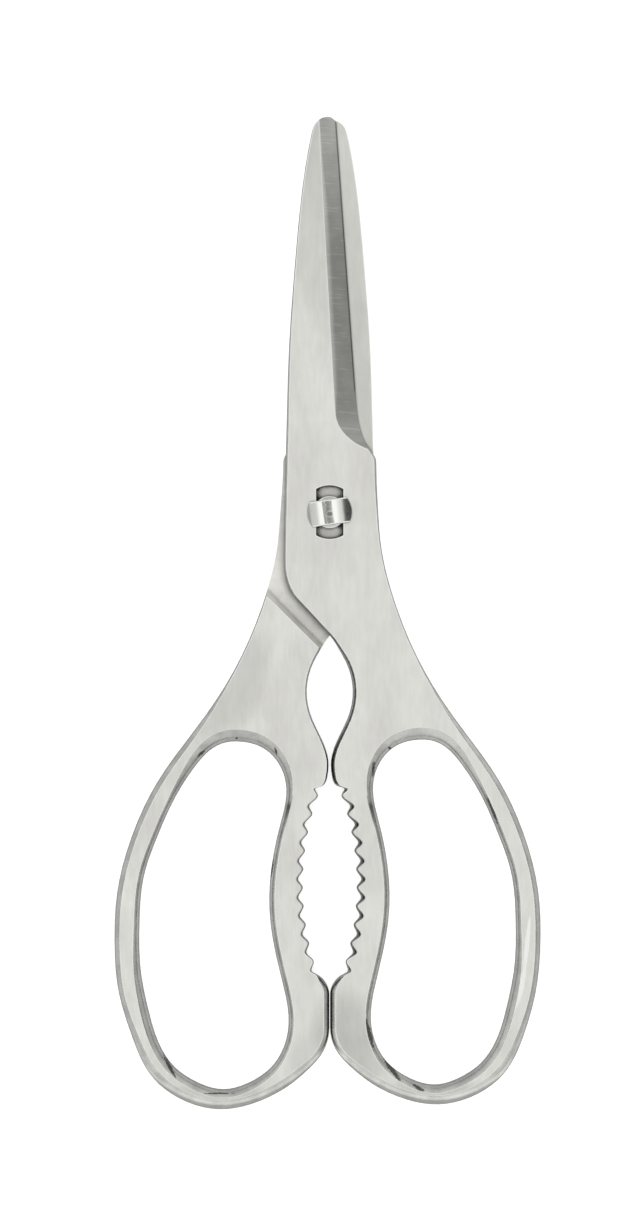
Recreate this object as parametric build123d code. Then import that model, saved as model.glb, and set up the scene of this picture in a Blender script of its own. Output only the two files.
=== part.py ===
from build123d import *
from typing import NamedTuple
import math
import os

# Kitchen shears that come apart, all steel, closed, lying on their back.
# Millimetres. X is to the right and Y to the blade tips, seen from the front; Z is up, out of the front.
# The origin is on the pivot's axis, in the plane that the shears lie on.
# A half is drawn as the front one lies, with its blade up the left and its handle down the right.

# Lap round the pivot, where the halves cross
lap_thickness = 2.8
lap_gap = 0.06
lap_half_width = 9.5
lap_corner_depth = 10.5
lap_edge_length = 10.2
lap_edge_angle = 47.0
shoulder_reach = 9.65
shoulder_height = 9.8
step_distance = 21.4
step_angle = 45.0
step_draft = 1.0
step_fillet = 0.5

# Blades
front_blade_length = 81.5
rear_blade_length = 80.9
tip_width = 5.3
tip_length = 3.8
tip_edge_reach = 1.4
tip_edge_length = 1.6
tip_spine_angle = 12.0
heel_edge_reach = 5.5
heel_height = 22.5
tip_thickness = 2.0
taper_start = 18.0
edge_thickness = 0.3
tip_bevel_width = 3.5
heel_bevel_width = 4.5
run_out_length = 9.0

# Handles: reach is from the pivot's axis out to the bow.
# Downwards they are a chain: neck, hollow, jaw with its teeth, pad, and the bow's drop below the pad.
front_reach = 43.6
rear_reach = 44.5
neck_depth = 25.5
hollow_length = 26.7
hollow_reach = 4.75
jaw_lead = 5.0
jaw_exit = 4.8
pad_length = 6.9
pad_gap = 0.16
front_drop = 15.9
rear_drop = 16.9
hole_reach = 8.5
limb_width = 5.2

# Nut jaw between the handles
teeth_count = 10
tooth_pitch = 3.76
tooth_depth = 1.0
tooth_slant = 0.35
jaw_start_reach = 3.0
jaw_end_reach = 3.7
jaw_sagitta = 3.15

# Rounding of the edges: how far it reaches in from the outline
blade_rounding = 0.45
neck_rounding = 0.25
limb_rounding = 1.1
bottom_rounding = 1.9
front_jaw_rounding = 0.8
rear_jaw_rounding = 0.35
tooth_rounding = 0.25
pad_rounding = 1.1
finger_rounding = 2.5
side_rounding = 1.1
palm_rounding = 1.7

# Stud, and the slot and hole of the front half
neck_radius = 3.3
running_clearance = 0.06
slot_width = 5.64
slot_length = 11.1
head_length = 9.1
head_side_clearance = 0.18
head_lift = 0.05
head_height = 1.35
head_rim = 0.5
head_rounding = 0.35
head_turn = 8.0
dimple_radius = 0.7
dimple_depth = 0.22
dimple_drop = 0.4
tail_radius = 2.3
tail_flare = 0.9
tail_fit = 0.01

# Layers of a rounded side, from the middle to a face
side_steps = 3

overrun = 1.0

full_thickness = 2 * lap_thickness + lap_gap
middle = full_thickness / 2
inner_face = middle + lap_gap / 2
bump_depth = neck_depth + hollow_length
jaw_start_depth = bump_depth + jaw_lead
jaw_end_depth = jaw_start_depth + teeth_count * tooth_pitch
pad_start_depth = jaw_end_depth + jaw_exit
pad_end_depth = pad_start_depth + pad_length
DOWN = Vector(0, -1)
UP = Vector(0, 1)
OUTWARD = Vector(1, 0)

# The outer limb of a bow from the pad round the bottom, as shares of the reach and of the bow's drop
bottom_shares = [
    (0.028, -0.283),
    (0.083, -0.469),
    (0.188, -0.708),
    (0.333, -0.908),
    (0.509, -1.000),
    (0.702, -0.862),
    (0.826, -0.600),
    (0.922, -0.084),
]

# From there up to the lap, as shares of the reach and of the handle's length
limb_shares = [
    (0.979, -0.806),
    (1.000, -0.715),
    (0.989, -0.641),
    (0.924, -0.547),
    (0.798, -0.450),
    (0.585, -0.344),
    (0.427, -0.253),
    (0.339, -0.182),
    (0.275, -0.111),
    (0.245, -0.061),
    (0.230, 0.000),
]

# The finger hole, clockwise from its top, as shares of its width and of the handle's length
hole_shares = [
    (0.344, -0.384),
    (0.507, -0.395),
    (0.625, -0.425),
    (0.778, -0.486),
    (0.886, -0.547),
    (0.969, -0.608),
    (1.000, -0.689),
    (0.990, -0.770),
    (0.943, -0.830),
    (0.866, -0.891),
    (0.755, -0.931),
    (0.631, -0.952),
    (0.445, -0.966),
    (0.243, -0.952),
    (0.124, -0.931),
    (0.026, -0.891),
    (0.000, -0.850),
    (0.039, -0.790),
    (0.096, -0.729),
    (0.130, -0.658),
    (0.111, -0.587),
    (0.060, -0.526),
    (0.015, -0.466),
    (0.026, -0.445),
    (0.083, -0.415),
    (0.171, -0.395),
]

# From the shoulder to the heel of the cutting edge, as shares of the way across and up between them
choil_shares = [(0.03, 0.10), (0.24, 0.21), (0.60, 0.385), (0.865, 0.645)]

# Where the bevel runs out below the heel, as shares of its width there and of the run-out's length,
# from the face side's lower corner: along the cutting edge, and along the line on the face
run_out_edge_shares = [(1.04, 0.75), (1.15, 0.45), (1.35, 0.15), (1.9, -0.05)]
run_out_face_shares = [(0.03, 0.75), (0.25, 0.40), (0.85, 0.10), (1.8, -0.12)]

# Round the tip from the cutting edge to the spine, as shares of its width and length
tip_shares = [(0.17, 0.99), (0.57, 0.99), (0.85, 0.66)]

# The spine, from tip to lap, as shares of the lap's half width and the blade's length
spine_shares = [(0.575, 0.842), (0.752, 0.639), (0.879, 0.437), (0.938, 0.234), (0.984, 0.006)]

# The hollow above the jaw, as shares of its reach and of the way from neck to bump
hollow_shares = [(0.417, 0.112), (0.701, 0.204), (1.0, 0.436), (0.813, 0.622), (0.326, 0.809), (0.048, 1.0)]

# From the bump to the first valley and from the last one to the pad,
# as shares of the valley's reach and of the way down
jaw_top_shares = [(0.15, 0.46), (0.55, 0.88)]
jaw_bottom_shares = [(0.65, 0.17), (0.31, 0.40), (0.12, 0.65)]


class Side(NamedTuple):
    """A piece of an outline, its rounding along it, the places it is drawn in at, and a fixed way inwards."""

    curve: Edge
    rounding: list
    places: list
    inward: Vector = None


def eased(stations, share):
    """A value that runs smoothly through stations, each a place along a curve and a value there."""
    for (start, first), (end, last) in zip(stations, stations[1:]):
        if share <= end:
            turn = (share - start) / (end - start)
            return first + (last - first) * (1 - math.cos(math.pi * turn)) / 2
    return stations[-1][1]


def evenly(count):
    """Places that cut a curve into equal bits."""
    return [place / count for place in range(count + 1)]


def steady(value):
    """The same rounding all along a curve."""
    return [(0, value), (1, value)]


def at_points(points, values):
    """A rounding that has a value at each of the points that a curve is drawn through."""
    runs = [0]
    for here, there in zip(points, points[1:]):
        runs.append(runs[-1] + (Vector(there) - Vector(here)).length)
    return [(run / runs[-1], value) for run, value in zip(runs, values)]


def smooth(points, start_way, end_way):
    """A spline through points that leaves and arrives in given directions."""
    return Spline(*points, tangents=[start_way, end_way], tangent_scalars=[1, 1])


def placed(shares, across, along, corner=(0, 0)):
    """Points at shares of two sizes, from a corner."""
    return [(corner[0] + x * across, corner[1] + y * along) for x, y in shares]


def drawn_in(side, rise, height):
    """A side's curve at a height, moved inwards by a share of its rounding."""
    points = []
    for place in side.places:
        along = side.curve % place
        inward = side.inward or Vector(-along.Y, along.X)
        reach = eased(side.rounding, place) * rise
        points.append(side.curve @ place + inward * reach + Vector(0, 0, height))
    if len(points) == 2:
        return Line(*points)
    return smooth(points, side.curve % 0, side.curve % 1)


def ring(outline, rise, height):
    """An outline at a height, drawn in by a share of its rounding."""
    return [drawn_in(side, rise, height) for side in outline]


def rounded_solid(outline):
    """A solid of full thickness with bulging sides: towards the faces its outline is drawn in."""
    rings = []
    for step in range(-side_steps, side_steps + 1):
        angle = math.pi / 2 * step / side_steps
        rings.append(ring(outline, 1 - math.cos(angle), middle + full_thickness / 2 * math.sin(angle)))
    faces = [Face(Wire(rings[0])), Face(Wire(rings[-1]))]
    for lower, upper in zip(rings, rings[1:]):
        faces += [Face.make_surface_from_curves(below, above) for below, above in zip(lower, upper)]
    return Solid(Shell(faces))


def tooth_line():
    """Valleys on a shallow arc and a tip between each two, from the top down."""
    points = []
    for place in range(2 * teeth_count + 1):
        share = place / 2 / teeth_count
        if place % 2:
            share -= tooth_slant * (1 - share) / 2 / teeth_count
        reach = jaw_start_reach + (jaw_end_reach - jaw_start_reach) * share
        reach += 4 * jaw_sagitta * share * (1 - share)
        if place % 2:
            reach -= tooth_depth
        points.append((reach, -jaw_start_depth - teeth_count * tooth_pitch * share))
    return points


def half_outline(reach, drop, blade_length, jaw_rounding):
    """The edge of a half, anticlockwise from the bottom of its pad, each piece with its rounding."""
    pad_start = (pad_gap / 2, -pad_start_depth)
    pad_end = (pad_gap / 2, -pad_end_depth)
    limb_points = [pad_end, *placed(bottom_shares, reach, drop, (0, -pad_end_depth))]
    limb_points += placed(limb_shares, reach, pad_end_depth + drop)
    shoulder = (shoulder_reach, shoulder_height)
    heel = Vector(heel_edge_reach, heel_height)
    edge_end = Vector(tip_edge_reach, blade_length - tip_edge_length)
    edge_way = (edge_end - heel).normalized()
    tip_corner = (tip_edge_reach, blade_length - tip_length)
    spine_start = (tip_edge_reach - tip_width, blade_length - tip_length)
    lean = math.radians(tip_spine_angle)
    spine_way = Vector(-math.sin(lean), -math.cos(lean))
    spine_end = (-lap_half_width, -lap_corner_depth)
    slant = math.radians(lap_edge_angle)
    lap_way = Vector(math.cos(slant), -math.sin(slant))
    neck = Vector(0, -neck_depth)
    lap_start = neck - lap_way * lap_edge_length
    hollow_points = placed(hollow_shares, hollow_reach, -hollow_length, (0, -neck_depth))
    teeth = tooth_line()
    jaw_top = placed(jaw_top_shares, teeth[0][0], -jaw_lead, (0, -bump_depth))
    jaw_bottom = placed(jaw_bottom_shares, teeth[-1][0], -jaw_exit, (0, -jaw_end_depth))
    jaw_points = [hollow_points[-1], *jaw_top, *teeth, *jaw_bottom, pad_start]

    limb = smooth([*limb_points, shoulder], DOWN, UP)
    choil_points = placed(choil_shares, heel.X - shoulder_reach, heel_height - shoulder_height, shoulder)
    choil = smooth([shoulder, *choil_points, heel], UP, edge_way)
    edge = Line(heel, edge_end)
    tip_points = placed(tip_shares, -tip_width, tip_length, tip_corner)
    tip = smooth([edge_end, *tip_points, spine_start], edge_way, spine_way)
    spine_points = placed(spine_shares, -lap_half_width, blade_length)
    spine = smooth([spine_start, *spine_points, spine_end], spine_way, DOWN)
    corner = smooth([spine_end, lap_start], DOWN, lap_way)
    lap_edge = Line(lap_start, neck)
    hollow = smooth([neck, *hollow_points], lap_way, DOWN)
    jaw = smooth(jaw_points, DOWN, DOWN)
    pad = Line(pad_start, pad_end)
    roundings = [
        (0, pad_rounding),
        (0.1, bottom_rounding),
        (0.22, bottom_rounding),
        (0.36, limb_rounding),
        (0.64, limb_rounding),
        (0.78, neck_rounding),
        (0.9, neck_rounding),
        (1, blade_rounding),
    ]
    jaw_values = [jaw_rounding] * (1 + len(jaw_top))
    jaw_values += [tooth_rounding if place % 2 else jaw_rounding for place in range(len(teeth))]
    jaw_values += [jaw_rounding] + [pad_rounding] * len(jaw_bottom)
    jaw_roundings = at_points(jaw_points, jaw_values)
    return [
        Side(limb, roundings, evenly(36)),
        Side(choil, [(0, blade_rounding), (0.7, 0), (1, 0)], evenly(12)),
        Side(edge, steady(0), evenly(1)),
        Side(tip, [(0, 0), (0.3, 0), (1, blade_rounding)], evenly(12)),
        Side(spine, steady(blade_rounding), evenly(10)),
        Side(corner, steady(blade_rounding), evenly(6)),
        Side(lap_edge, steady(blade_rounding), evenly(1)),
        Side(hollow, [(0, blade_rounding), (0.3, jaw_rounding), (1, jaw_rounding)], evenly(16)),
        Side(jaw, jaw_roundings, [place for place, value in jaw_roundings], OUTWARD),
        Side(pad, steady(pad_rounding), evenly(1)),
    ]


def finger_hole(reach, drop):
    """What is cut away inside a bow, wider towards the faces and open beyond them."""
    hole_width = reach - limb_width - hole_reach
    loop = Spline(*placed(hole_shares, hole_width, pad_end_depth + drop, (hole_reach, 0)), periodic=True)
    roundings = [
        [(0, finger_rounding), (0.5, side_rounding), (1, side_rounding)],
        [(0, side_rounding), (0.5, palm_rounding), (1, palm_rounding)],
        [(0, palm_rounding), (0.5, side_rounding), (1, side_rounding)],
        [(0, side_rounding), (0.5, side_rounding), (1, finger_rounding)],
    ]
    outline = []
    for side, rounding in enumerate(roundings):
        quarter = loop.trim(side / len(roundings), (side + 1) / len(roundings))
        outline.append(Side(quarter, rounding, evenly(14)))
    hole = rounded_solid(outline)
    mouth = extrude(Face(Wire(ring(outline, 1, 0))), overrun, dir=(0, 0, -1))
    return hole + mouth + Pos(0, 0, full_thickness + overrun) * mouth


def lap_recess():
    """What is cut away behind the lap and blade, down to the step's slanted wall with a hollow at its foot."""
    far = -2 * front_blade_length
    foot = step_distance - step_draft
    fall = step_draft / inner_face * overrun
    corners = [(far, inner_face), (foot, inner_face), (step_distance + fall, -overrun), (far, -overrun)]
    section = Polyline(*corners, close=True)
    section = fillet(section.vertices().sort_by_distance((foot, inner_face))[0], step_fillet)
    block = extrude(Plane.XZ * Face(Wire(section.edges())), 2 * front_blade_length, both=True)
    return Rot(0, 0, -step_angle) * block


def face_height(along, blade_length):
    """How high the front face lies at a place along the blade."""
    thinned = (lap_thickness - tip_thickness) / (blade_length - taper_start)
    return full_thickness - max(0, along - taper_start) * thinned


def bevel(blade_length):
    """What is ground off the front of the blade, from its tip down to where the wheel ran out."""
    edge_height = inner_face + edge_thickness
    low = inner_face - overrun
    high = full_thickness + overrun
    heel = Vector(heel_edge_reach, heel_height)
    tip = Vector(tip_edge_reach, blade_length - tip_edge_length)
    past_tip = tip + (tip - heel) * (2 * tip_edge_length / (tip - heel).length)
    stations = [(past_tip, past_tip - Vector(tip_bevel_width, 0)), (heel, heel - Vector(heel_bevel_width, 0))]
    for (edge_across, edge_up), (face_across, face_up) in zip(run_out_edge_shares, run_out_face_shares):
        corner = heel - Vector(heel_bevel_width, run_out_length)
        on_edge = corner + Vector(edge_across * heel_bevel_width, edge_up * run_out_length)
        on_face = corner + Vector(face_across * heel_bevel_width, face_up * run_out_length)
        stations.append((on_edge, on_face))
    sections = []
    for height in (low, high):
        points = []
        for on_edge, on_face in stations:
            rise = (height - edge_height) / (face_height(on_face.Y, blade_length) - edge_height)
            points.append(on_edge + (on_face - on_edge) * rise + Vector(0, 0, height))
        straight = Line(points[0], points[1])
        way = straight % 1
        run_out = smooth(points[1:], way, points[-1] - points[-2])
        far = Vector(2 * lap_half_width, 0)
        corners = Polyline(run_out @ 1, run_out @ 1 + far, straight @ 0 + far, straight @ 0)
        sections.append([straight, run_out, *corners.edges()])
    faces = [Face(Wire(section)) for section in sections]
    faces += [Face.make_surface_from_curves(below, above) for below, above in zip(*sections)]
    return Solid(Shell(faces))


def taper_cut(blade_length):
    """The wedge that thins the blade towards its tip."""
    thinned = lap_thickness - tip_thickness
    length = blade_length - taper_start
    run = overrun / thinned * length
    profile = Polyline(
        (0, taper_start, full_thickness),
        (0, blade_length + run, full_thickness - thinned - overrun),
        (0, blade_length + run, full_thickness + overrun),
        (0, taper_start, full_thickness + overrun),
        close=True,
    )
    return extrude(Face(Wire(profile.edges())), lap_half_width * 2, dir=(1, 0, 0), both=True)


def blade_half(reach, drop, blade_length, jaw_rounding):
    """A half of the shears without its pivot, as the front one lies."""
    body = rounded_solid(half_outline(reach, drop, blade_length, jaw_rounding))
    body -= finger_hole(reach, drop)
    body -= lap_recess()
    body -= taper_cut(blade_length)
    body -= bevel(blade_length)
    return body


def front_half():
    """The half on top, with the slot that lets the stud's head through and the hole for its neck."""
    slot = Rectangle(slot_width, slot_length) & Circle(slot_length / 2)
    opening = slot + Circle(neck_radius + running_clearance)
    half = blade_half(front_reach, front_drop, front_blade_length, front_jaw_rounding)
    return half - extrude(opening, full_thickness + overrun)


def rear_half():
    """The half below: the same shape turned over, with a flared hole for the stud's tail."""
    half = blade_half(rear_reach, rear_drop, rear_blade_length, rear_jaw_rounding)
    return Pos(0, 0, middle) * Rot(0, 180, 0) * Pos(0, 0, -middle) * half - tail(tail_fit)


def tail(fit):
    """The stud's riveted tail, flared at the back, grown by a fit."""
    seat = middle - lap_gap / 2
    profile = Polyline(
        (0, 0),
        (tail_radius + tail_flare + fit, 0),
        (tail_radius + fit, tail_flare),
        (tail_radius + fit, seat),
        (0, seat),
        close=True,
    )
    return revolve(Face(Wire([Plane.XZ.from_local_coords(edge) for edge in profile.edges()])), Axis.Z)


def stud_head():
    """The stud's oblong head: an arch along its length, with soft long edges, round ends and a punch mark."""
    half_length = head_length / 2
    arch = ThreePointArc((half_length, head_rim), (0, head_height), (-half_length, head_rim))
    foot = Polyline((-half_length, head_rim), (-half_length, 0), (half_length, 0), (half_length, head_rim))
    section = Plane.XZ * Face(Wire([arch.edge(), *foot.edges()]))
    bar = extrude(section, slot_width / 2 - head_side_clearance, both=True)
    crests = bar.edges().filter_by(GeomType.CIRCLE)
    head = fillet(crests, head_rounding) & extrude(Circle(half_length), head_height)
    ball = (dimple_radius**2 + dimple_depth**2) / (2 * dimple_depth)
    return head - Pos(0, -dimple_drop, head_height - dimple_depth + ball) * Sphere(ball)


def pivot_stud():
    """Tail, round neck and the head, turned a little off the level."""
    seat = middle - lap_gap / 2
    neck = Pos(0, 0, seat) * extrude(Circle(neck_radius), full_thickness + head_lift - seat)
    return tail(0) + neck + Pos(0, 0, full_thickness + head_lift) * Rot(0, 0, head_turn) * stud_head()


os.makedirs("parts", exist_ok=True)
for name, build in (("front_half", front_half), ("rear_half", rear_half), ("pivot_stud", pivot_stud)):
    solid = build()
    print(name, "volume", round(solid.volume, 1), "valid", solid.is_valid)
    export_step(solid, f"parts/{name}.step")
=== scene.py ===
import math

import bmesh
import bpy
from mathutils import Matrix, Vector


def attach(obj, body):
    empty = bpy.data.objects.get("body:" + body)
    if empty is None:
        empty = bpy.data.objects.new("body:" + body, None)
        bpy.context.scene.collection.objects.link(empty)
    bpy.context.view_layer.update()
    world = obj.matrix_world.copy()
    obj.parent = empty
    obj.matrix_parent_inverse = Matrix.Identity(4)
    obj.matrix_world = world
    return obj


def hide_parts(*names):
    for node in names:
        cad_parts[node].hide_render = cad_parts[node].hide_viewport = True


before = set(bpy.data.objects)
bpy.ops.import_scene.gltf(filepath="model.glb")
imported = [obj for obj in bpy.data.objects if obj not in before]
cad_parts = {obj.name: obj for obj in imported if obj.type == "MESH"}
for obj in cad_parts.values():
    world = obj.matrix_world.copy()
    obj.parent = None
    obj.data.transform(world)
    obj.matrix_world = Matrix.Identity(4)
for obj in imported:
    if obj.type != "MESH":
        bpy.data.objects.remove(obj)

# Kitchen shears lying on their back on a white table, seen from straight above.
# Metres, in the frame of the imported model: X right, Y to the blade tips, Z up, origin on the pivot's axis.

MM = 0.001

# What the photograph shows: its size in pixels, the pivot's place in it, and its scale
PHOTO_WIDTH = 640
PHOTO_HEIGHT = 1215
PIVOT_PIXEL = (329.7, 512.2)
PIXEL = 0.20665 * MM
CAMERA_DISTANCE = 2.5
CAMERA_SENSOR = 36.0

# How near and how far the camera sees, in metres
CLIP_START = 0.1
CLIP_END = 10.0

# Heights of the shears: the laps, the gap between them, and the plane halfway up, where they meet
LAP_THICKNESS = 2.8 * MM
LAP_GAP = 0.06 * MM
FULL_THICKNESS = 2 * LAP_THICKNESS + LAP_GAP
MIDDLE = FULL_THICKNESS / 2

# Where the blades begin and where the step ends, along
BLADE_START = 12 * MM
STEP_END = -28 * MM

# The ground bevel: where it starts across, and how level its faces lie at least and at most
GROUND_START = -2.6 * MM
GROUND_STEEPEST = 0.1
GROUND_FLATTEST = 0.97

# A face that looks down from above this height is a blade's back or a lap's floor, and a level face of the
# stud that lies at most this far above the front face is a shoulder of its neck
INNER_HEIGHT = 2 * MM
SHOULDER_RISE = 0.2 * MM

# The front blade's cutting edge, from heel to tip, and the fine teeth ground into it
EDGE_HEEL = Vector((5.5 * MM, 22.5 * MM, 0))
EDGE_TIP = Vector((1.4 * MM, 79.9 * MM, 0))
SERRATION_PITCH = 0.37 * MM
SERRATION_DEPTH = 0.20 * MM
SERRATION_HALF_SHARE = 0.42
SERRATION_OVERHANG = 0.2 * MM
SERRATION_BOTTOM = LAP_THICKNESS * 0.8
SERRATION_TOP = MIDDLE + 0.9 * MM

# The blade's bevel, and how bright it and the rounded sides are; the bevel's lightening towards the tip is
# painted reflected light
BEVEL_HEEL_WIDTH = 4.5 * MM
BEVEL_TIP_WIDTH = 3.5 * MM
BEVEL_HEEL_TONE = 0.385
BEVEL_TIP_TONE = 0.725
SIDE_TONE = 0.44

# Colour of the painted highlight: a white line along sharp edges
EDGE_HIGHLIGHT = (1.0, 1.0, 0.975)

# Rectangles round parts of the shears, in mm: from and to across, from and to along
FRONT_TEETH = (1.0, 9.0, -91.0, -58.5)
REAR_TEETH = (-9.0, -1.0, -91.0, -58.5)
JAW = (-9.0, 9.0, -92.0, -60.0)
SLOT = (-4.0, 4.0, -7.0, 7.0)

# The stud's punch mark: its middle along, and the radii between which it fades out
MARK_MIDDLE = -0.4 * MM
MARK_INNER = 0.45 * MM
MARK_OUTER = 0.72 * MM

# Casting flaws of the rounded sides, in mm: across, along, half width, half length, and lean in degrees
FLAWS = [
    (-19.2, -46.7, 0.30, 0.22, 0),
    (-11.1, -49.4, 0.25, 0.75, 16),
    (-26.6, -49.9, 0.30, 1.10, -45),
    (12.4, -48.7, 0.35, 0.30, 0),
    (9.0, -53.0, 0.35, 1.60, -5),
    (33.6, -61.5, 0.30, 3.20, 21),
    (-33.0, -114.6, 0.35, 2.60, 28),
    (-3.7, 75.9, 0.18, 2.20, -15),
    (-12.0, -74.0, 0.25, 2.20, -10),
    (-23.0, -120.0, 3.00, 0.15, 0),
    (8.2, -107.6, 0.45, 3.40, 15),
    (13.0, -115.3, 0.45, 2.90, 38),
    (18.3, -118.9, 0.38, 1.30, 62),
]

# Places of painted shade (below 1) and painted highlight (above 1) on the flat faces: given as the flaws are,
# and how bright
SHADE_AND_HIGHLIGHT_SPOTS = [
    (4.0, -110.0, 9.0, 16.0, 12, 0.78),
    (-4.0, -112.0, 5.0, 8.0, 0, 0.93),
    (-23.0, -121.5, 16.0, 5.0, 0, 0.84),
    (22.0, -120.5, 16.0, 5.0, 0, 0.84),
    (-20.5, -36.0, 9.0, 15.0, -25, 0.89),
    (18.0, -35.0, 7.0, 12.0, 25, 1.04),
    (40.7, -89.5, 0.6, 8.0, -6, 1.30),
    (39.3, -98.5, 0.9, 5.5, -14, 1.22),
    (-42.0, -80.0, 2.0, 14.0, 5, 1.06),
    (0.0, 2.9, 2.4, 0.9, 0, 0.62),
]

# Panels and gaps of the room overhead, by direction: from and to across, from and to along, softness, level
PANELS = [
    (-0.19, 0.08, -0.07, 0.07, 0.02, 0.14),
    (-0.36, -0.20, -0.16, 0.12, 0.05, 1.25),
    (0.10, 0.27, -0.12, 0.16, 0.04, 1.25),
    (0.30, 0.42, -0.12, 0.20, 0.06, 0.80),
    (0.44, 0.80, -0.15, 0.25, 0.03, 0.05),
    (-0.58, -0.38, -0.20, 0.12, 0.04, 0.68),
    (-0.76, -0.58, -0.25, 0.12, 0.01, 0.36),
]

# The way that the side of the front half's step faces, seen from the front
STEP_WAY = Vector((-0.742, 0.670))

# How level a flat face lies at least, how closely a face of the step faces that way, and the sharpest edge
# that shades smoothly
FLAT_SLOPE = 0.995
STEP_MATCH = 0.9
SMOOTH_ANGLE = math.radians(50)

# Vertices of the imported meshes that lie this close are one, and an edge this short is none
WELD = 0.0005 * MM
NO_LENGTH = 0.0001 * MM

# The table: half its width in metres, how far it lies below the shears, and how much light it gives off to
# the camera and in reflections
TABLE_HALF = 1.5
TABLE_DROP = 0.02 * MM
TABLE_GLOW = 0.75
TABLE_REFLECTED_GLOW = 0.26


def new_object(name, mesh):
    """An object for a mesh, linked to the scene."""
    made = bpy.data.objects.new(name, mesh)
    bpy.context.scene.collection.objects.link(made)
    return made


# Materials


class Nodes:
    """A short way to write a node tree."""

    def __init__(self, tree):
        self.tree = tree

    def add(self, kind, inputs=None, **settings):
        node = self.tree.nodes.new(kind)
        for key, value in settings.items():
            setattr(node, key, value)
        for key, value in (inputs or {}).items():
            if isinstance(value, bpy.types.NodeSocket):
                self.tree.links.new(value, node.inputs[key])
            else:
                node.inputs[key].default_value = value
        return node

    def maths(self, operation, first, second=0.0):
        return self.add("ShaderNodeMath", {0: first, 1: second}, operation=operation).outputs[0]

    def product(self, first, *others):
        for other in others:
            first = self.maths("MULTIPLY", first, other)
        return first

    def dot(self, first, second):
        return self.add("ShaderNodeVectorMath", {0: first, 1: second}, operation="DOT_PRODUCT").outputs["Value"]

    def between(self, value, low, high, to_low=0.0, to_high=1.0):
        """A smooth step from one value to another."""
        node = self.add(
            "ShaderNodeMapRange",
            {"Value": value, "From Min": low, "From Max": high, "To Min": to_low, "To Max": to_high},
            interpolation_type="SMOOTHSTEP",
        )
        return node.outputs["Result"]

    def within(self, value, low, high, soft):
        """1 between two values, 0 outside them, with soft ends."""
        above = self.between(value, low - soft, low + soft)
        below = self.between(value, high - soft, high + soft, 1.0, 0.0)
        return self.product(above, below)

    def zone(self, place, limits, soft):
        """1 inside a rectangle, given as from and to across and along in mm, and 0 outside it."""
        left, right, low, high = (limit * MM for limit in limits)
        across = self.within(self.dot(place, (1, 0, 0)), left, right, soft)
        return self.product(across, self.within(self.dot(place, (0, 1, 0)), low, high, soft))

    def spread(self, noise, low, high):
        """A noise brought between two values, which it reaches where it is 0.3 or less and 0.7 or more."""
        return self.between(noise, 0.3, 0.7, low, high)

    def faded(self, mask, level):
        """1 where a mask is 0, and a level where it is 1."""
        return self.between(mask, 0.0, 1.0, 1.0, level)

    def less(self, value, mask, share):
        """A value that loses a share of itself where a mask is 1."""
        return self.product(value, self.maths("SUBTRACT", 1.0, self.product(mask, share)))

    def blend(self, factor, first, second):
        """A value between two others."""
        return self.add("ShaderNodeMix", {"Factor": factor, "A": first, "B": second}).outputs[0]

    def mixed(self, factor, first, second):
        """A colour between two others."""
        node = self.add("ShaderNodeMix", {"Factor": factor}, data_type="RGBA")
        for socket, colour in ((node.inputs[6], first), (node.inputs[7], second)):
            if isinstance(colour, bpy.types.NodeSocket):
                self.tree.links.new(colour, socket)
            else:
                socket.default_value = (*colour, 1)
        return node.outputs[2]

    def shaded(self, colour, level):
        """A colour times a level."""
        return self.add("ShaderNodeVectorMath", {0: colour, "Scale": level}, operation="SCALE").outputs[0]

    def noise(self, place, size, detail=3.0, roughness=0.55, lean=0.0):
        """Noise whose features have a size along X, Y and Z, in mm, turned about Z by some degrees."""
        metres = [length * MM for length in size]
        turned = {"Vector": place, "Scale": metres, "Rotation": (0, 0, math.radians(lean))}
        mapped = self.add("ShaderNodeMapping", turned, vector_type="TEXTURE")
        inputs = {"Vector": mapped.outputs[0], "Scale": 1.0, "Detail": detail, "Roughness": roughness}
        return self.add("ShaderNodeTexNoise", inputs).outputs["Fac"]

    def spot(self, place, across, along, half_width, half_length, lean, ragged=None):
        """1 inside a soft-edged ellipse, given in mm and degrees, and 0 outside it."""
        turn = math.radians(lean)
        middle = (across * MM, along * MM, 0)
        shifted = self.add("ShaderNodeVectorMath", {0: place, 1: middle}, operation="SUBTRACT").outputs[0]
        wide = self.dot(shifted, (math.cos(turn) / half_width / MM, math.sin(turn) / half_width / MM, 0))
        long = self.dot(shifted, (-math.sin(turn) / half_length / MM, math.cos(turn) / half_length / MM, 0))
        apart = self.maths("ADD", self.product(wide, wide), self.product(long, long))
        if ragged is None:
            return self.between(apart, 0.0, 1.0, 1.0, 0.0)
        apart = self.maths("ADD", apart, self.spread(ragged, -0.5, 0.5))
        return self.between(apart, 0.5, 1.3, 1.0, 0.0)

    def levelness(self):
        """How level the surface lies: 1 on a flat face, 0 on an upright wall."""
        normal = self.add("ShaderNodeNewGeometry").outputs["Normal"]
        return self.maths("ABSOLUTE", self.dot(normal, (0, 0, 1)))

    def arris(self, radius):
        """1 on a sharp edge, falling to 0 beside it."""
        normal = self.add("ShaderNodeNewGeometry").outputs["Normal"]
        blunted = self.add("ShaderNodeBevel", {"Radius": radius}, samples=6).outputs[0]
        return self.between(self.dot(normal, blunted), 0.980, 0.999, 1.0, 0.0)

    def openness(self, distance):
        """How open the surface lies: 0 deep in a corner, 1 where nothing is near."""
        return self.add("ShaderNodeAmbientOcclusion", {"Distance": distance}, samples=8).outputs["AO"]


def new_material(name):
    material = bpy.data.materials.new(name)
    material.use_nodes = True
    material.node_tree.nodes.clear()
    nodes = Nodes(material.node_tree)
    place = nodes.add("ShaderNodeTexCoord").outputs["Object"]
    return material, nodes, place


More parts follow.
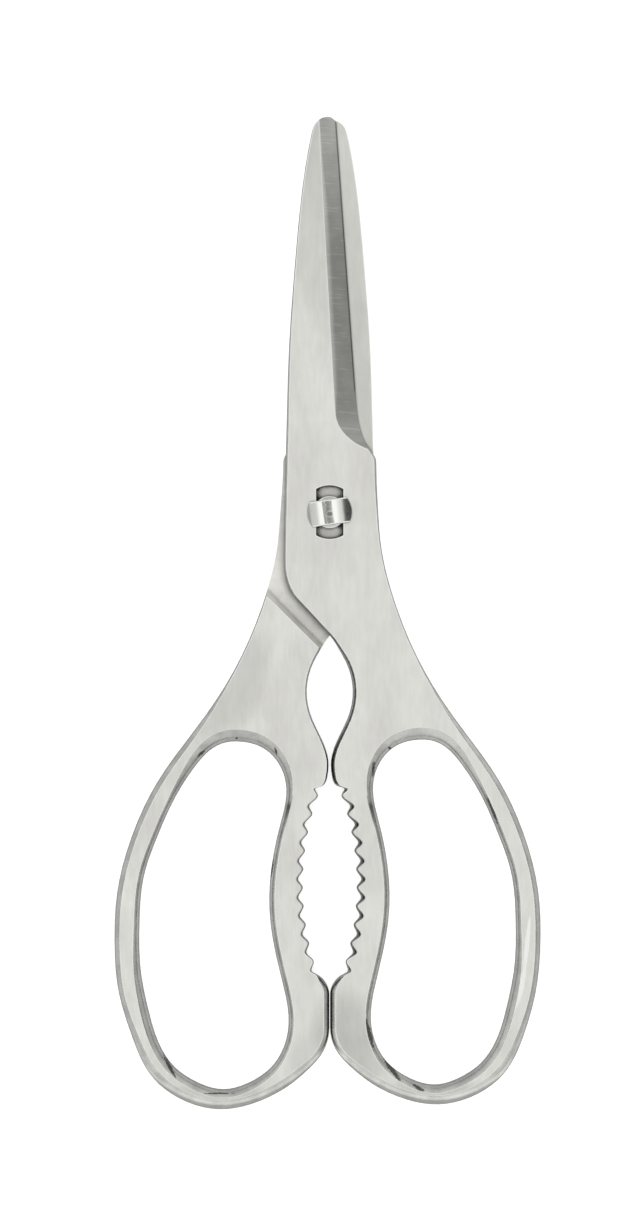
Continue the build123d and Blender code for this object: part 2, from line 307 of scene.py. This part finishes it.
def finish_metal(nodes, colour, roughness, height, bump, lift, metallic=1.0):
    """Ends a material as metal, with a height that is shown by bumps of a strength and a lift in metres."""
    bumped = nodes.add("ShaderNodeBump", {"Strength": bump, "Distance": lift, "Height": height}).outputs[0]
    inputs = {"Metallic": metallic, "Base Color": colour, "Roughness": roughness, "Normal": bumped}
    shader = nodes.add("ShaderNodeBsdfPrincipled", inputs)
    nodes.add("ShaderNodeOutputMaterial", {"Surface": shader.outputs[0]})


def satin_steel(name, tone, tip_tone, roughness, corner_shade, corner_shade_reach):
    """Flat steel, brushed along Y: fine grain and soft streaks over clouds, of another tone to the blade's tip.

    Painted shade: its colour loses a given share of its brightness in corners nearer than a given reach.
    """
    material, nodes, place = new_material(name)
    grain = nodes.noise(place, (0.13, 2.2, 1), detail=4.0)
    streaks = nodes.noise(place, (0.9, 5, 2), detail=3.0)
    clouds = nodes.noise(place, (7, 15, 7), detail=2.0)
    along = nodes.dot(place, (0, 1, 0))
    level = nodes.product(
        nodes.spread(grain, 0.985, 1.015),
        nodes.spread(streaks, 0.975, 1.02),
        nodes.spread(clouds, 0.94, 1.04),
        nodes.between(along, 25 * MM, 78 * MM, 1.0, tip_tone),
        # painted shade in corners
        nodes.between(nodes.openness(corner_shade_reach), 0.4, 0.95, 1 - corner_shade, 1.0),
    )
    # Painted shade and painted highlights at listed places on the flat faces
    for *spot, strength in SHADE_AND_HIGHLIGHT_SPOTS:
        level = nodes.product(level, nodes.faded(nodes.spot(place, *spot), strength))
    warm = (tone * 1.006, tone, tone * 0.955)
    cool = (tone, tone * 1.003, tone * 0.95)
    colour = nodes.shaded(nodes.mixed(nodes.between(clouds, 0.35, 0.65), warm, cool), level)
    # A painted highlight: a white line along sharp edges, turned into painted shade at the jaw's teeth
    edge = nodes.product(
        nodes.faded(nodes.zone(place, FRONT_TEETH, 0.5 * MM), 0.14),
        nodes.faded(nodes.zone(place, REAR_TEETH, 0.5 * MM), 0.42),
    )
    colour = nodes.mixed(nodes.arris(0.40 * MM), colour, nodes.shaded(EDGE_HIGHLIGHT, edge))
    scratches = nodes.between(nodes.noise(place, (0.4, 9, 1), detail=1.0), 0.70, 0.74)
    rough = nodes.spread(grain, roughness - 0.04, roughness + 0.04)
    height = nodes.maths("SUBTRACT", grain, nodes.product(scratches, 0.5))
    finish_metal(nodes, colour, rough, height, 0.12, 0.008 * MM)
    return material


def ground_steel(name):
    """The blade's bevel: dark, ground across, painted lighter to the tip and along the face, with painted shade
    dotted on its edge.
    """
    material, nodes, place = new_material(name)
    way = (EDGE_TIP - EDGE_HEEL).normalized()
    inward = Vector((-way.y, way.x, 0))
    along = nodes.maths("SUBTRACT", nodes.dot(place, way), EDGE_HEEL.dot(way))
    across = nodes.maths("SUBTRACT", nodes.dot(place, inward), EDGE_HEEL.dot(inward))
    up = nodes.dot(place, (0, 1, 0))
    marks = nodes.noise(place, (6, 0.22, 3), detail=4.0, roughness=0.6)
    lines = nodes.noise(place, (7, 0.30, 3), detail=2.0, lean=-4)
    clouds = nodes.noise(place, (4, 5, 4), detail=2.0)
    # Painted reflected light: the bevel grows lighter towards the tip
    tone = nodes.between(up, 50 * MM, 86 * MM, BEVEL_HEEL_TONE, BEVEL_TIP_TONE)
    tone = nodes.product(tone, nodes.spread(marks, 0.96, 1.04), nodes.spread(clouds, 0.95, 1.06))
    tone = nodes.maths("ADD", tone, nodes.product(nodes.between(lines, 0.59, 0.66), 0.10))
    width = nodes.between(along, 0, (EDGE_TIP - EDGE_HEEL).length, BEVEL_HEEL_WIDTH, BEVEL_TIP_WIDTH)
    # A painted lighter band along the bevel's line with the face, standing for a concave grind
    lit_band_width = nodes.between(up, 55 * MM, 78 * MM, 1.2 * MM, 0.2 * MM)
    lit_band_width = nodes.product(lit_band_width, nodes.between(up, 18 * MM, 28 * MM, 0.1, 1.0))
    inside = nodes.maths("DIVIDE", nodes.maths("SUBTRACT", width, across), lit_band_width)
    tone = nodes.maths("ADD", tone, nodes.between(inside, 0.0, 1.0, 0.30, 0.0))
    # Painted shade in dots along the cutting edge, where the fine teeth are cut
    dots = nodes.maths("SINE", nodes.product(along, 2 * math.pi / SERRATION_PITCH))
    serration_shade = nodes.between(across, 0.20 * MM, 0.34 * MM, 1.0, 0.0)
    serration_shade = nodes.product(serration_shade, nodes.between(up, 24 * MM, 26 * MM))
    tone = nodes.less(tone, serration_shade, nodes.between(dots, -0.6, 0.6, 0.15, 0.95))
    colour = nodes.shaded(nodes.mixed(clouds, (1.0, 1.0, 0.96), (1.0, 1.005, 0.945)), tone)
    # A painted highlight: a white line along the bevel's sharp edges, away from the cutting edge
    edge = nodes.product(nodes.arris(0.26 * MM), nodes.between(across, 1 * MM, 2 * MM))
    colour = nodes.mixed(edge, colour, EDGE_HIGHLIGHT)
    rough = nodes.spread(marks, 0.30, 0.38)
    finish_metal(nodes, colour, rough, marks, 0.15, 0.006 * MM)
    return material


def flawed(nodes, place):
    """1 in the casting flaws that the wheel left: pits and streaks on the front half of the thickness."""
    ragged = nodes.noise(place, (0.5, 0.5, 0.5), detail=3.0)
    total = None
    for flaw in FLAWS:
        spot = nodes.spot(place, *flaw, ragged)
        total = spot if total is None else nodes.maths("MAXIMUM", total, spot)
    in_front = nodes.between(nodes.dot(place, (0, 0, 1)), MIDDLE, MIDDLE + 0.5 * MM)
    return nodes.product(total, in_front)


def rounded_steel(name):
    """The rounded sides, tumbled grey, with painted shade where they stand upright and painted shade and
    highlight round the bows' ends.
    """
    material, nodes, place = new_material(name)
    waves = nodes.noise(place, (3.2, 3.2, 3.2), detail=3.0, roughness=0.6)
    skin = nodes.noise(place, (0.3, 0.8, 0.3), detail=3.0)
    flaw = flawed(nodes, place)
    level_face = nodes.levelness()
    across = nodes.dot(place, (1, 0, 0))
    up = nodes.dot(place, (0, 1, 0))
    # A little painted light on the nearly level faces
    tone = nodes.maths("ADD", nodes.between(level_face, 0.70, 0.97, 0.0, 0.05), SIDE_TONE)

    # Painted shade and highlight round the far end of the bows, by the way the surface faces, from outside to
    # inside: a grey band, a light line and a plain slope
    outward = nodes.dot(nodes.add("ShaderNodeTexCoord").outputs["Normal"], (0, -1, 0))
    end_shade_and_highlight = nodes.between(outward, -0.7, -0.1, 0.95, 1.18)
    end_shade_and_highlight = nodes.product(end_shade_and_highlight, nodes.between(outward, 0.60, 0.74, 1.0, 0.72))
    end_shade_and_highlight = nodes.maths("ADD", end_shade_and_highlight, nodes.product(nodes.within(outward, 0.46, 0.62, 0.06), 0.34))
    far = nodes.between(up, -113 * MM, -103 * MM, 1.0, 0.0)
    tone = nodes.product(tone, nodes.blend(far, 1.0, end_shade_and_highlight))

    # The front hole's top and the pads are lighter; painted shade darkens the jaw's teeth and the upright walls
    crown = nodes.product(nodes.between(across, 8 * MM, 16 * MM), nodes.between(up, -62 * MM, -50 * MM))
    pads = nodes.within(across, -1 * MM, 3.5 * MM, 1 * MM)
    pads = nodes.product(pads, nodes.between(up, -96 * MM, -92 * MM, 1.0, 0.0))
    tone = nodes.product(
        tone,
        nodes.faded(crown, 1.18),
        nodes.faded(nodes.zone(place, JAW, 1 * MM), 0.25),
        nodes.faded(pads, 1.3),
        nodes.between(level_face, 0.05, 0.50, 0.22, 1.0),
        nodes.spread(waves, 0.88, 1.13),
        nodes.spread(skin, 0.985, 1.015),
    )
    streaks = nodes.between(nodes.noise(place, (1.5, 6, 2), detail=3.0), 0.58, 0.70)
    tone = nodes.less(tone, streaks, nodes.between(level_face, 0.15, 0.6, 0.4, 0.0))
    tone = nodes.less(tone, flaw, 0.75)
    colour = nodes.shaded(nodes.mixed(waves, (1.0, 1.0, 0.965), (1.0, 1.004, 0.95)), tone)
    rough = nodes.maths("ADD", nodes.spread(skin, 0.24, 0.30), nodes.product(flaw, 0.3))
    height = nodes.maths("ADD", waves, nodes.product(skin, 0.1))
    height = nodes.maths("SUBTRACT", height, flaw)
    finish_metal(nodes, colour, rough, height, 0.08, 0.02 * MM)
    return material


def matte_steel(name):
    """Steel that no wheel has finished: the floor of the lap, seen through the slot and beside the step."""
    material, nodes, place = new_material(name)
    cast = nodes.noise(place, (0.35, 0.35, 0.35), detail=5.0, roughness=0.65)
    clouds = nodes.noise(place, (3, 3, 3), detail=3.0)
    in_slot = nodes.zone(place, SLOT, 0.2 * MM)
    # Painted shade near the slot's walls
    inside = nodes.between(nodes.openness(1.6 * MM), 0.50, 0.72, 0.06, 0.92)
    # Painted shadow of the front half beside the step, stronger further from the blades; its ramp is left out
    ramp = nodes.between(nodes.levelness(), 0.5, 0.9, 1.0, 0.0)
    deep = nodes.between(nodes.dot(place, (0, 1, 0)), -21 * MM, -8 * MM, 0.38, 0.68)
    open_or_ramp = nodes.maths("MAXIMUM", nodes.openness(2.4 * MM), ramp)
    beside = nodes.between(open_or_ramp, 0.42, 0.90, deep, 1.0)
    tone = nodes.product(
        nodes.spread(clouds, 0.94, 1.06),
        nodes.spread(cast, 0.97, 1.03),
        nodes.blend(in_slot, beside, inside),
    )
    colour = nodes.shaded(nodes.mixed(clouds, (0.90, 0.885, 0.828), (0.90, 0.895, 0.853)), tone)
    rough = nodes.spread(cast, 0.42, 0.54)
    metallic = nodes.between(in_slot, 0.0, 1.0, 0.4, 1.0)
    finish_metal(nodes, colour, rough, cast, 0.2, 0.012 * MM, metallic)
    return material


def mirror_steel(name):
    """The stud: mirror polished, with the faintest waves, dull in its punch mark, with painted shade in corners
    and on steep sides.
    """
    material, nodes, place = new_material(name)
    waves = nodes.noise(place, (1.6, 1.6, 1.6), detail=2.0)
    fine = nodes.noise(place, (0.12, 0.5, 0.3), detail=3.0)
    from_mark = {0: place, 1: (0, MARK_MIDDLE, 0)}
    shifted = nodes.add("ShaderNodeVectorMath", from_mark, operation="SUBTRACT").outputs[0]
    flat = nodes.add("ShaderNodeVectorMath", {0: shifted, 1: (1, 1, 0)}, operation="MULTIPLY").outputs[0]
    reach = nodes.add("ShaderNodeVectorMath", {0: flat}, operation="LENGTH").outputs["Value"]
    mark = nodes.between(reach, MARK_INNER, MARK_OUTER, 1.0, 0.0)
    tone = nodes.product(
        nodes.spread(fine, 0.83, 0.88),
        nodes.faded(mark, 0.30),
        # painted shade in corners and on the steep sides
        nodes.between(nodes.openness(0.6 * MM), 0.3, 0.8, 0.25, 1.0),
        nodes.between(nodes.levelness(), 0.15, 0.75, 0.25, 1.0),
    )
    colour = nodes.shaded(nodes.mixed(waves, (1.0, 1.0, 0.98), (1.0, 1.0, 0.965)), tone)
    rough = nodes.maths("ADD", nodes.spread(fine, 0.13, 0.18), nodes.product(mark, 0.25))
    finish_metal(nodes, colour, rough, waves, 0.06, 0.02 * MM)
    return material


SATIN = satin_steel(
    "satin_steel_brushed", tone=0.835, tip_tone=0.81, roughness=0.34, corner_shade=0.5, corner_shade_reach=0.4 * MM
)
INNER = satin_steel(
    "satin_steel_blade_back", tone=0.68, tip_tone=1.08, roughness=0.36, corner_shade=0.6, corner_shade_reach=0.5 * MM
)
GROUND = ground_steel("ground_steel_bevel")
ROUNDED = rounded_steel("rounded_steel_side")
MATTE = matte_steel("matte_steel_lap")
MIRROR = mirror_steel("mirror_steel_stud")
LOOKS = [SATIN, INNER, GROUND, ROUNDED, MATTE, MIRROR]


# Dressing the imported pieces: a smooth-shaded copy with a finish for each kind of face


def half_look(front):
    """Says which finish a face of a half has, from its middle and the way it faces.

    The rear half is the front one turned over, so its faces are turned over first.
    """

    def look(middle, normal):
        across, side = (middle.x, normal.x) if front else (-middle.x, -normal.x)
        height, up = (middle.z, normal.z) if front else (FULL_THICKNESS - middle.z, -normal.z)
        on_blade = middle.y > BLADE_START
        at_bevel = on_blade and height > MIDDLE and across > GROUND_START
        if at_bevel and GROUND_STEEPEST < up < GROUND_FLATTEST:
            return GROUND
        if abs(up) > FLAT_SLOPE:
            if up < 0 and height > INNER_HEIGHT:
                return INNER if on_blade else MATTE
            return SATIN
        faces_step = STEP_WAY.dot((side, normal.y)) > STEP_MATCH * math.hypot(side, normal.y)
        if middle.y > STEP_END and height < MIDDLE and faces_step:
            return MATTE
        return ROUNDED

    return look


def stud_look(middle, normal):
    """The shoulders of the stud's neck are plain, the rest is polished."""
    shoulder = normal.z > FLAT_SLOPE and middle.z < FULL_THICKNESS + SHOULDER_RISE
    return SATIN if shoulder else MIRROR


def corner_angle(mesh, face, vertex):
    """The angle of a face at one of its vertices."""
    ring = list(face.vertices)
    spot = ring.index(vertex)
    here = mesh.vertices[vertex].co
    before = mesh.vertices[ring[spot - 1]].co - here
    after = mesh.vertices[ring[(spot + 1) % len(ring)]].co - here
    return before.angle(after, 0.0)


def soft_normals(mesh, looks):
    """Smooths the rounded faces, with a crisp line where they meet a flat face."""
    flat = [abs(face.normal.z) > FLAT_SLOPE for face in mesh.polygons]
    faces_at = [[] for vertex in mesh.vertices]
    for face in mesh.polygons:
        for vertex in face.vertices:
            faces_at[vertex].append(face.index)
    normals = [Vector((0, 0, 1))] * len(mesh.loops)
    for face in mesh.polygons:
        for loop in face.loop_indices:
            vertex = mesh.loops[loop].vertex_index
            blend = Vector((0, 0, 0))
            for other_index in faces_at[vertex]:
                other = mesh.polygons[other_index]
                pair = (looks[other_index], looks[face.index])
                ground_line = pair[0] is not pair[1] and GROUND in pair
                sharp = face.normal.angle(other.normal, math.tau) > SMOOTH_ANGLE
                if not (ground_line or sharp or flat[other_index]):
                    blend += other.normal * corner_angle(mesh, other, vertex)
            normals[loop] = face.normal.copy() if flat[face.index] else blend.normalized()
    mesh.normals_split_custom_set(normals)


def notched(piece):
    """Cuts the fine teeth into the front blade's edge."""
    run = EDGE_TIP - EDGE_HEEL
    count = int(run.length / SERRATION_PITCH)
    way = run.normalized()
    side = Vector((way.y, -way.x, 0))
    wide = way * (SERRATION_PITCH * SERRATION_HALF_SHARE)
    outer = side * SERRATION_OVERHANG
    builder = bmesh.new()
    for tooth in range(count):
        foot = EDGE_HEEL + way * ((tooth + 0.5) * SERRATION_PITCH)
        plan = [foot - side * SERRATION_DEPTH, foot + wide + outer, foot - wide + outer]
        bottom = [builder.verts.new(point + Vector((0, 0, SERRATION_BOTTOM))) for point in plan]
        top = [builder.verts.new(point + Vector((0, 0, SERRATION_TOP))) for point in plan]
        builder.faces.new(bottom)
        builder.faces.new(reversed(top))
        for corner in range(3):
            after = (corner + 1) % 3
            builder.faces.new([bottom[after], bottom[corner], top[corner], top[after]])
    bmesh.ops.recalc_face_normals(builder, faces=builder.faces)
    comb_mesh = bpy.data.meshes.new("comb")
    builder.to_mesh(comb_mesh)
    builder.free()
    comb = new_object("comb", comb_mesh)
    cut = piece.modifiers.new("teeth", "BOOLEAN")
    cut.operation = "DIFFERENCE"
    cut.solver = "EXACT"
    cut.object = comb
    bpy.context.view_layer.update()
    graph = bpy.context.evaluated_depsgraph_get()
    result = bpy.data.meshes.new_from_object(piece.evaluated_get(graph))
    piece.modifiers.clear()
    piece.data = result
    bpy.data.objects.remove(comb)


def dressed(node, body, look, cut=None):
    """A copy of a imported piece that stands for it, with its finishes and smooth shading."""
    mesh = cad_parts[node].data.copy()
    mesh.name = node + "_dressed"
    builder = bmesh.new()
    builder.from_mesh(mesh)
    bmesh.ops.remove_doubles(builder, verts=builder.verts, dist=WELD)
    bmesh.ops.dissolve_degenerate(builder, dist=NO_LENGTH, edges=builder.edges)
    builder.to_mesh(mesh)
    builder.free()
    piece = new_object(node + "_dressed", mesh)
    if cut is not None:
        cut(piece)
    mesh = piece.data
    mesh.materials.clear()
    for material in LOOKS:
        mesh.materials.append(material)
    looks = [look(face.center, face.normal) for face in mesh.polygons]
    for face, finish in zip(mesh.polygons, looks):
        face.material_index = LOOKS.index(finish)
        face.use_smooth = True
    soft_normals(mesh, looks)
    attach(piece, body)
    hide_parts(node)


# The table, the light and the camera


def table():
    """A white table: its colour is plain, and the camera and the metal also see it lit up to white."""
    mesh = bpy.data.meshes.new("table_top")
    signs = ((-1, -1), (1, -1), (1, 1), (-1, 1))
    corners = [(TABLE_HALF * across, TABLE_HALF * along, 0) for across, along in signs]
    mesh.from_pydata(corners, [], [(0, 1, 2, 3)])
    top = new_object("table_top", mesh)
    top.location.z = -TABLE_DROP
    material, nodes, _ = new_material("table_white")
    seen = nodes.add("ShaderNodeLightPath").outputs
    reflected = nodes.maths("MAXIMUM", seen["Is Glossy Ray"], seen["Is Transmission Ray"])
    to_camera = nodes.product(seen["Is Camera Ray"], TABLE_GLOW)
    strength = nodes.maths("ADD", to_camera, nodes.product(reflected, TABLE_REFLECTED_GLOW))
    white = nodes.add("ShaderNodeBsdfDiffuse", {"Color": (0.8, 0.8, 0.8, 1)})
    glow = nodes.add("ShaderNodeEmission", {"Strength": strength})
    both = nodes.add("ShaderNodeAddShader", {0: white.outputs[0], 1: glow.outputs[0]})
    nodes.add("ShaderNodeOutputMaterial", {"Surface": both.outputs[0]})
    mesh.materials.append(material)


def studio():
    """An even bright room, dimmer to the right, with white panels and dark gaps overhead for the stud."""
    world = bpy.data.worlds.new("studio")
    bpy.context.scene.world = world
    world.use_nodes = True
    world.node_tree.nodes.clear()
    nodes = Nodes(world.node_tree)
    way = nodes.add("ShaderNodeTexCoord").outputs["Generated"]
    across, along, up = nodes.add("ShaderNodeSeparateXYZ", {0: way}).outputs
    level = nodes.between(up, 0.0, 0.5, 0.84, 0.95)
    level = nodes.product(level, nodes.between(across, 0.55, 0.9, 1.0, 0.8))
    for low, high, front, back, soft, strength in PANELS:
        inside = nodes.product(nodes.within(across, low, high, soft), nodes.within(along, front, back, soft))
        level = nodes.product(level, nodes.faded(inside, strength))
    background = nodes.add("ShaderNodeBackground", {"Color": (1.0, 1.0, 0.995, 1), "Strength": level})
    nodes.add("ShaderNodeOutputWorld", {"Surface": background.outputs[0]})


def camera():
    """Straight above, with the photograph's frame and scale at the middle of the shears' thickness."""
    lens = bpy.data.cameras.new("photo_camera")
    lens.sensor_width = CAMERA_SENSOR
    lens.lens = CAMERA_SENSOR * CAMERA_DISTANCE / (PHOTO_HEIGHT * PIXEL)
    lens.clip_start = CLIP_START
    lens.clip_end = CLIP_END
    holder = bpy.data.objects.new("photo_camera", lens)
    across = (PHOTO_WIDTH / 2 - PIVOT_PIXEL[0]) * PIXEL
    along = (PIVOT_PIXEL[1] - PHOTO_HEIGHT / 2) * PIXEL
    holder.location = (across, along, MIDDLE + CAMERA_DISTANCE)
    bpy.context.scene.collection.objects.link(holder)
    bpy.context.scene.camera = holder


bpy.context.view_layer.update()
bpy.context.scene.view_settings.view_transform = "Standard"

dressed("front_half", "front", half_look(True), notched)
dressed("rear_half", "rear", half_look(False))
dressed("pivot_stud", "rear", stud_look)
table()
studio()
camera()
